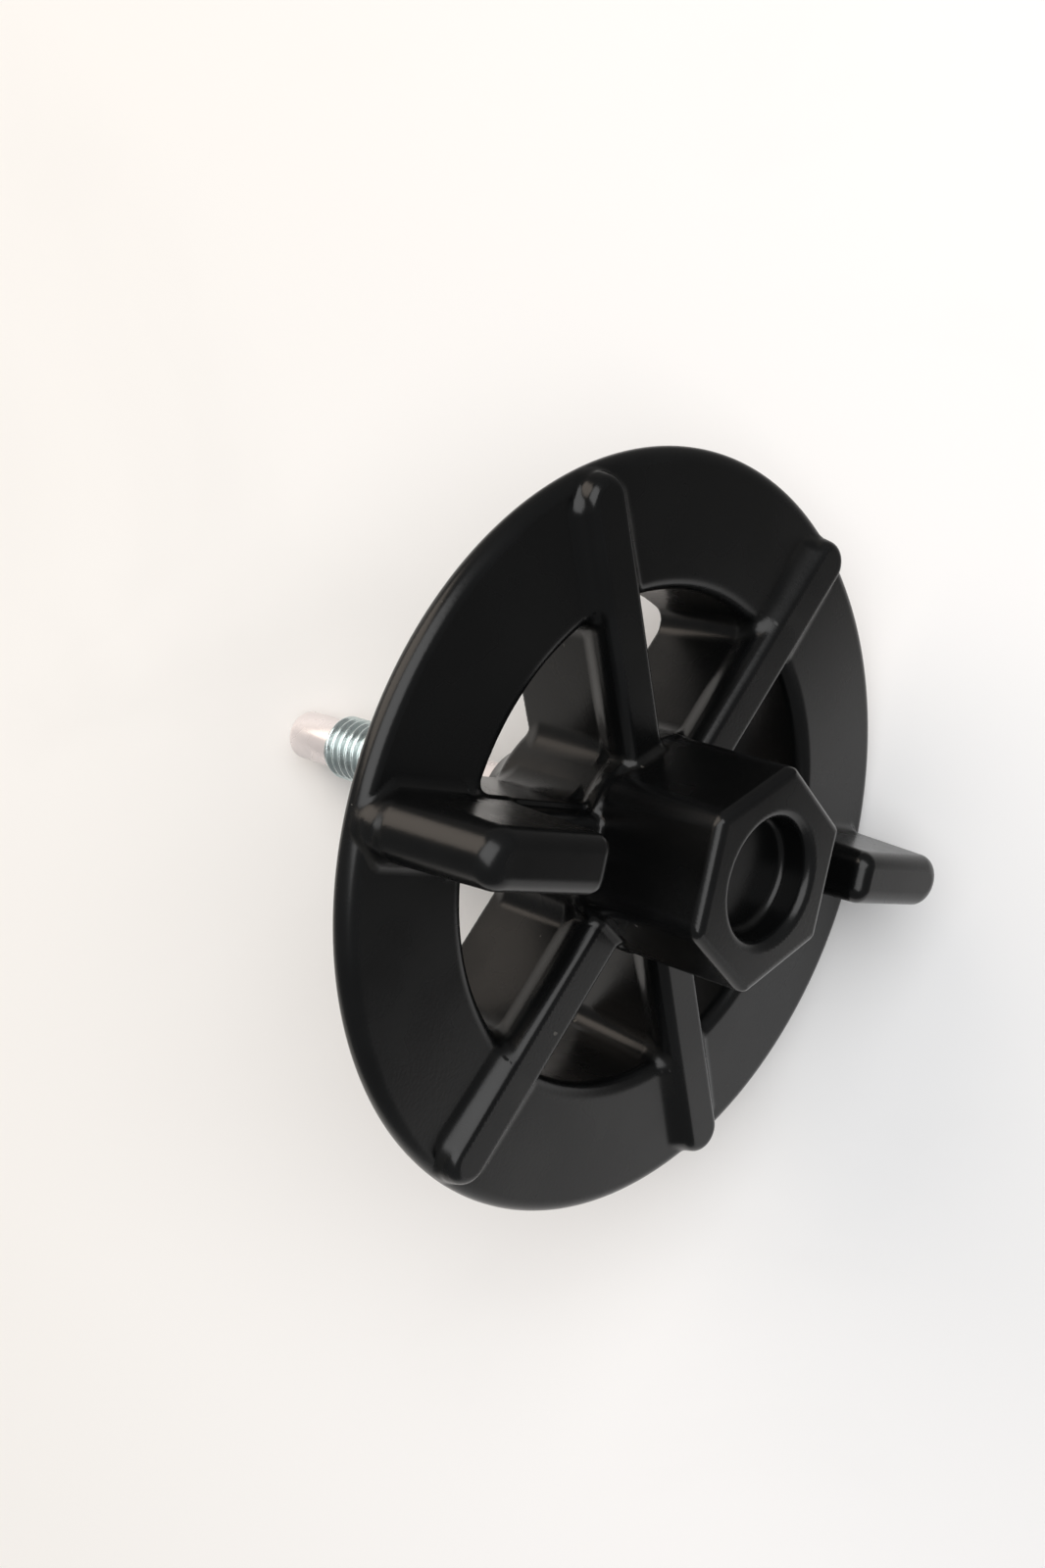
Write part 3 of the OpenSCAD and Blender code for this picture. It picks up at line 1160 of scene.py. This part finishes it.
        real = tree.add("GeometryNodeRealizeInstances", geometry=smooth.outputs[0])
        dressed = tree.add(
            "GeometryNodeSetMaterial", geometry=real.outputs[0], material=source["Finish"]
        )
        tree.add("NodeGroupOutput", geometry=dressed.outputs[0])
        return group


def turned(
    name: str,
    profile: list[tuple[float, float]],
    segments: int,
    place: Matrix,
    material: bpy.types.Material,
) -> bpy.types.Object:
    """Turns a profile round the part's axis into a closed piece.

    Args:
        name: The object's name.
        profile: Radius and height of each point, from pole to pole.
        segments: Number of sides.
        place: Matrix from the part's axis to the shared frame.
        material: The finish.

    Returns:
        The piece.
    """
    points: list[Vector] = [Vector((0, 0, profile[0][1]))]
    for radius, height in profile[1:-1]:
        for i in range(segments):
            a = 2 * math.pi * i / segments
            points.append(Vector((radius * math.cos(a), radius * math.sin(a), height)))
    points.append(Vector((0, 0, profile[-1][1])))
    faces: list[tuple[int, ...]] = []
    rings = len(profile) - 2
    last = len(points) - 1
    for i in range(segments):
        j = (i + 1) % segments
        faces.append((0, 1 + j, 1 + i))
        for ring in range(rings - 1):
            low, high = 1 + ring * segments, 1 + (ring + 1) * segments
            faces.append((low + i, low + j, high + j, high + i))
        top = 1 + (rings - 1) * segments
        faces.append((top + i, top + j, last))
    mesh = bpy.data.meshes.new(name)
    mesh.from_pydata([place @ p for p in points], [], faces)
    mesh.polygons.foreach_set("use_smooth", np.ones(len(faces), bool))
    mesh.set_sharp_from_angle(angle=math.radians(35))
    mesh.materials.append(material)
    piece = bpy.data.objects.new(name, mesh)
    bpy.context.scene.collection.objects.link(piece)
    return piece


def grown(
    name: str, group: bpy.types.NodeTree, values: dict[str, object]
) -> bpy.types.Object:
    """Runs a Geometry Nodes tree and keeps the result as a plain mesh.

    Args:
        name: The object's name.
        group: The tree.
        values: Value of each named input.

    Returns:
        The piece.
    """
    piece = bpy.data.objects.new(name, bpy.data.meshes.new(name))
    bpy.context.scene.collection.objects.link(piece)
    modifier = piece.modifiers.new(name, "NODES")
    modifier.node_group = group
    identifiers = {
        item.name: item.identifier
        for item in group.interface.items_tree
        if item.item_type == "SOCKET" and item.in_out == "INPUT"
    }
    for item, value in values.items():
        modifier[identifiers[item]] = value
    evaluated = piece.evaluated_get(bpy.context.evaluated_depsgraph_get())
    mesh = bpy.data.meshes.new_from_object(evaluated)
    piece.modifiers.remove(modifier)
    piece.data = mesh
    mesh.name = name
    return piece


# ---------------------------------------------------------------------------
# Floor, light and camera
# ---------------------------------------------------------------------------


@dataclass(frozen=True)
class Lamp:
    """One square lamp that faces the part.

    Attributes:
        name: The lamp's name.
        place: Where it hangs, in metres.
        size: Side of the lamp, in metres.
        power: Its power in watts.
        colour: Its colour.
    """

    name: str
    place: tuple[float, float, float]
    size: float
    power: float
    colour: Colour = (1.0, 1.0, 1.0)

    def hang(self) -> None:
        """Hangs the lamp."""
        data = bpy.data.lights.new(self.name, "AREA")
        data.size = self.size
        data.energy = self.power
        data.color = self.colour
        lamp = bpy.data.objects.new(self.name, data)
        lamp.location = self.place
        lamp.rotation_euler = Vector(self.place).to_track_quat("Z", "Y").to_euler()
        bpy.context.scene.collection.objects.link(lamp)


OVERHEAD = Lamp("overhead", (0.15, 0.3, 1.15), 1.3, 14.3)
WINDOW = Lamp("window", (-0.73, 0.47, 0.53), 0.8, 5.4, (1.0, 0.87, 0.75))


@dataclass
class Studio:
    """A pale floor under soft light, and the camera that looks down on the part.

    Attributes:
        effects: Shader groups for the floor's marks.
        floor_painted_dark_reflection: Colour of the painted dark reflection, which glossy rays
            see on the floor's far side, so the part mirrors a dark floor there.
        painted_reflection_way: Direction along the floor towards that far side.
        painted_reflection_band: Distances that way between which the painted dark reflection
            fades in, in metres.
        painted_shade_band: Places along X between which the painted shade on the floor clears,
            in metres.
    """

    effects: SurfaceEffects
    floor_half: float = 1.5
    floor_colour: Colour = (0.90, 0.90, 0.905)
    # Colour of the painted shade on the floor's -X side.
    floor_painted_shade: Colour = (0.84, 0.825, 0.80)
    # Painted dark reflection: the floor's far side is painted near black for glossy rays only.
    floor_painted_dark_reflection: Colour = (0.15, 0.15, 0.15)
    floor_soil: Colour = (0.20, 0.19, 0.18)
    painted_reflection_way: tuple[float, float] = (0.54, 0.84)
    painted_reflection_band: tuple[float, float] = (0.030, 0.075)
    painted_shade_band: tuple[float, float] = (-0.11, 0.06)
    world_colour: Colour = (1.0, 1.0, 1.0)
    world_strength: float = 0.2
    lens: float = 40.247
    sensor: float = 36.0
    camera_place: tuple[float, float, float] = (0.020315, 0.022367, 0.223448)
    camera_right: tuple[float, float, float] = (0.966456, 0.203784, -0.156317)
    camera_up: tuple[float, float, float] = (-0.216510, 0.973834, -0.069067)
    camera_back: tuple[float, float, float] = (0.138152, 0.100594, 0.985290)

    def build(self) -> None:
        """Lays the floor, lights it and places the camera."""
        self._floor()
        self._world()
        for lamp in (OVERHEAD, WINDOW):
            lamp.hang()
        self._camera()

    def _floor(self) -> None:
        """Lays the pale floor."""
        h = self.floor_half
        mesh = bpy.data.meshes.new("floor")
        mesh.from_pydata([(-h, -h, 0), (h, -h, 0), (h, h, 0), (-h, h, 0)], [], [(0, 1, 2, 3)])
        mesh.materials.append(self._floor_material())
        floor = bpy.data.objects.new("floor", mesh)
        bpy.context.scene.collection.objects.link(floor)

    def _floor_material(self) -> bpy.types.Material:
        """Builds the floor's pale, faintly soiled paint, with painted shade towards -X and a
        painted dark reflection on its far side that only glossy rays see.

        Returns:
            The material.
        """
        material = bpy.data.materials.new("pale floor")
        material.use_nodes = True
        tree = Tree(material.node_tree)
        place = tree.add("ShaderNodeTexCoord").outputs["Object"]
        spot = tree.add("ShaderNodeSeparateXYZ", i0=place)
        # Painted shade: the floor is painted darker and warmer towards -X.
        side = tree.ramp(spot.outputs[0], *self.painted_shade_band)
        base = tree.blend(side, self.floor_painted_shade, self.floor_colour)
        # Painted dark reflection: glossy rays see the floor's far side painted near black, while
        # other rays see the pale floor.
        far = tree.math("MULTIPLY", spot.outputs[0], self.painted_reflection_way[0])
        far = tree.math("ADD", far, tree.math("MULTIPLY", spot.outputs[1], self.painted_reflection_way[1]))
        mirrored = tree.add("ShaderNodeLightPath").outputs["Is Glossy Ray"]
        painted_reflection_share = tree.math("MULTIPLY", mirrored, tree.ramp(far, *self.painted_reflection_band))
        base = tree.blend(painted_reflection_share, base, self.floor_painted_dark_reflection)
        smudge = tree.add(
            "ShaderNodeTexNoise", vector=place, scale=14.0, detail=4.0, distortion=0.6
        )
        base = tree.blend(
            tree.ramp(smudge.outputs["Fac"], 0.5, 0.75, 0.0, 0.05), base, self.floor_soil
        )
        marks = tree.add("ShaderNodeGroup", {"node_tree": self.effects.specks})
        tree.feed(marks.inputs["Vector"], place)
        tree.feed(marks.inputs["Scale"], 34.0)
        tree.feed(marks.inputs["Size"], 0.032)
        tree.feed(marks.inputs["Share"], 0.16)
        base = tree.blend(
            tree.math("MULTIPLY", marks.outputs["Mask"], 0.45), base, self.floor_soil
        )
        shader = tree.add("ShaderNodeBsdfDiffuse", color=base)
        tree.add("ShaderNodeOutputMaterial", surface=shader.outputs[0])
        return material

    def _world(self) -> None:
        """Lights the part evenly from all round."""
        world = bpy.data.worlds.new("soft room")
        world.use_nodes = True
        bpy.context.scene.world = world
        tree = Tree(world.node_tree)
        sky = tree.add(
            "ShaderNodeBackground", color=self.world_colour, strength=self.world_strength
        )
        tree.add("ShaderNodeOutputWorld", surface=sky.outputs[0])

    def _camera(self) -> None:
        """Places the camera above the part, looking down."""
        data = bpy.data.cameras.new("camera")
        data.sensor_fit = "VERTICAL"
        data.sensor_height = self.sensor
        data.lens = self.lens
        data.clip_start = 0.005
        data.clip_end = 20.0
        camera = bpy.data.objects.new("camera", data)
        turn = Matrix((self.camera_right, self.camera_up, self.camera_back)).transposed()
        camera.matrix_world = Matrix.Translation(self.camera_place) @ turn.to_4x4()
        bpy.context.scene.collection.objects.link(camera)
        bpy.context.scene.camera = camera


def describe(piece: bpy.types.Object) -> None:
    """Reports a finished piece.

    Args:
        piece: The piece.
    """
    mesh = piece.data
    mesh.calc_loop_triangles()
    log.info("%s: %d triangles", piece.name, len(mesh.loop_triangles))


def main() -> None:
    """Builds the part's looks, then the studio."""
    logging.basicConfig(level=logging.INFO, format="%(name)s: %(message)s")
    bpy.context.scene.view_settings.view_transform = "Standard"
    place = PartAxis().matrix()
    effects = SurfaceEffects()
    describe(HandWheel().build(place, BlackPlastic(effects)))
    plain = ZincSteel(
        effects,
        PlatedZone.PLAIN,
        colour=(0.84, 0.78, 0.775),
        cloud=(0.78, 0.73, 0.725),
        roughness=0.3,
        metal=0.4,
    )
    threaded = ZincSteel(effects, PlatedZone.THREAD)
    for piece in Bolt().build(place, plain, threaded):
        describe(piece)
    Studio(effects).build()
    log.info("the studio is set")


if __name__ == "__main__":
    main()
